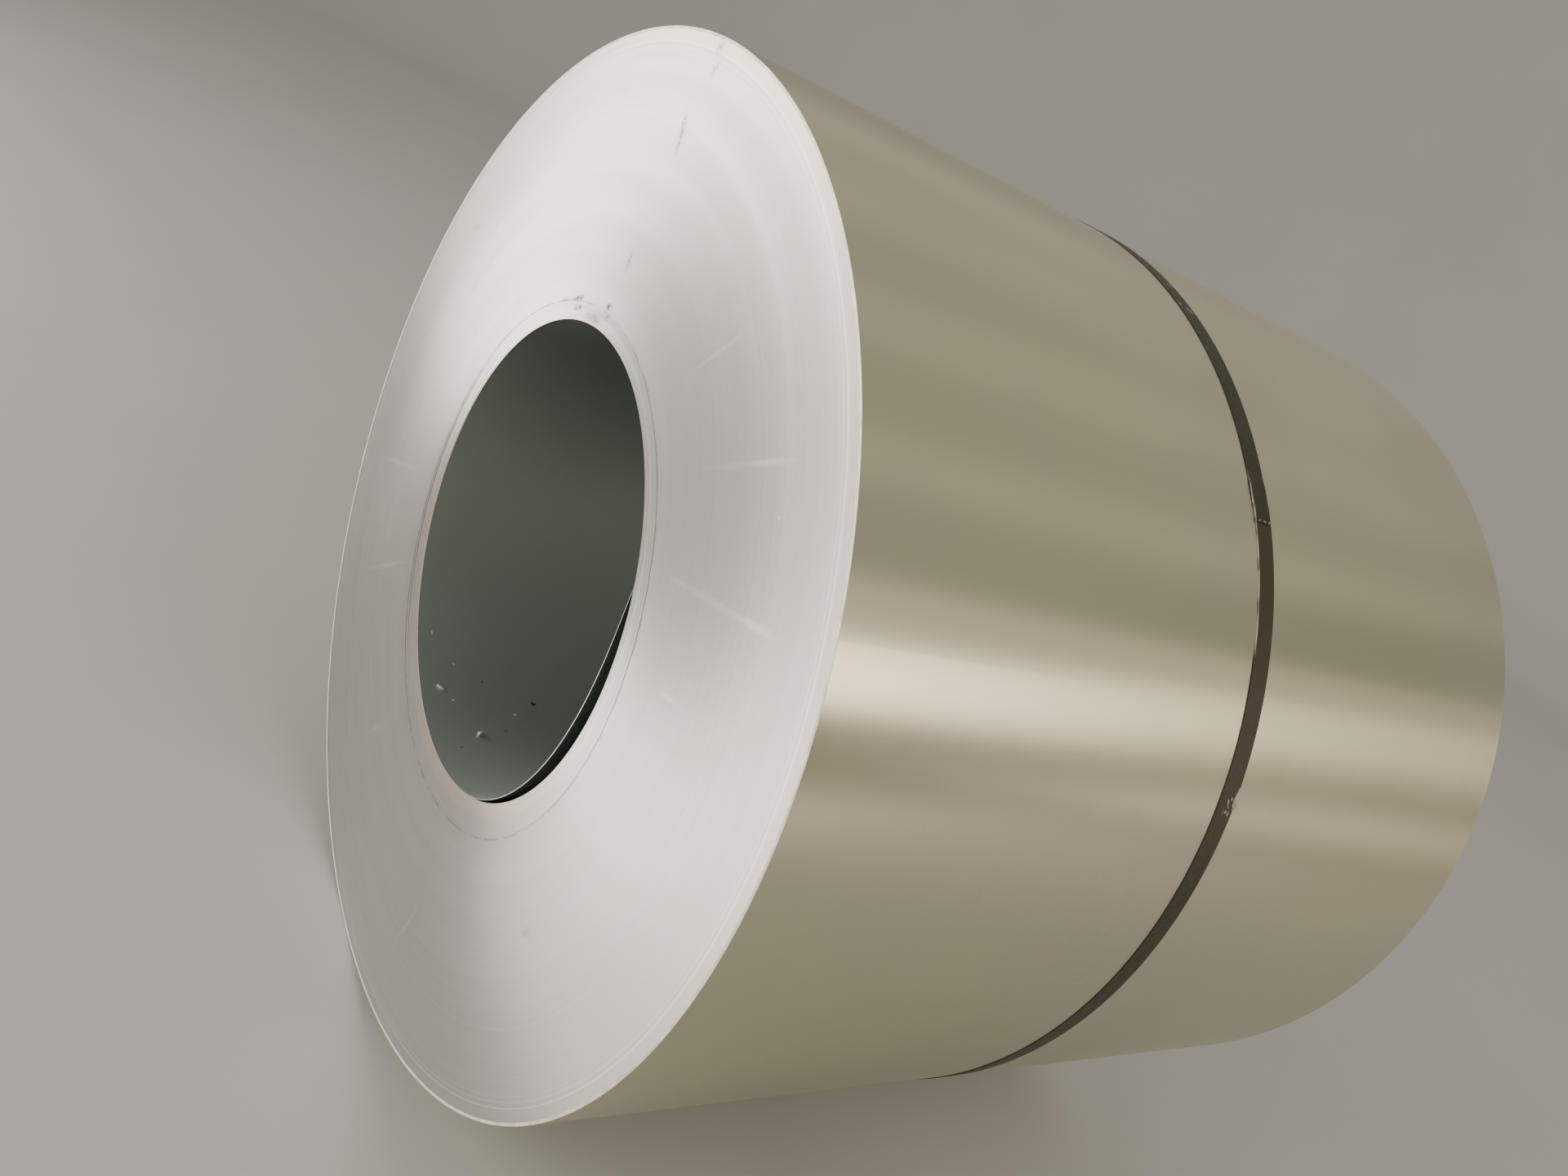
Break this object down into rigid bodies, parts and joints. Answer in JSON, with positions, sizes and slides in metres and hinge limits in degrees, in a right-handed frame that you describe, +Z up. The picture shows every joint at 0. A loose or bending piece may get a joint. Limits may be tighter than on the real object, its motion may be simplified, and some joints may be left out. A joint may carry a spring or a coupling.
{
  "type": "steel coil",
  "caption": "Wound coil of cold-rolled steel strip with a round eye through it, held round its middle by a flat steel strap.",
  "frame": {"origin": "on the floor under the middle of the coil", "axes": "+Y along the coil's axis, from the end that the picture shows to the hidden end; +Z up"},
  "size_m": [1.3218, 1.2566, 1.3218],
  "materials": {
    "rolled_steel": "satin",
    "strap_paint": "semi-matt"
  },
  "bodies": {
    "root": {"coil": "rolled_steel", "strap": "strap_paint"}
  },
  "joints": []
}
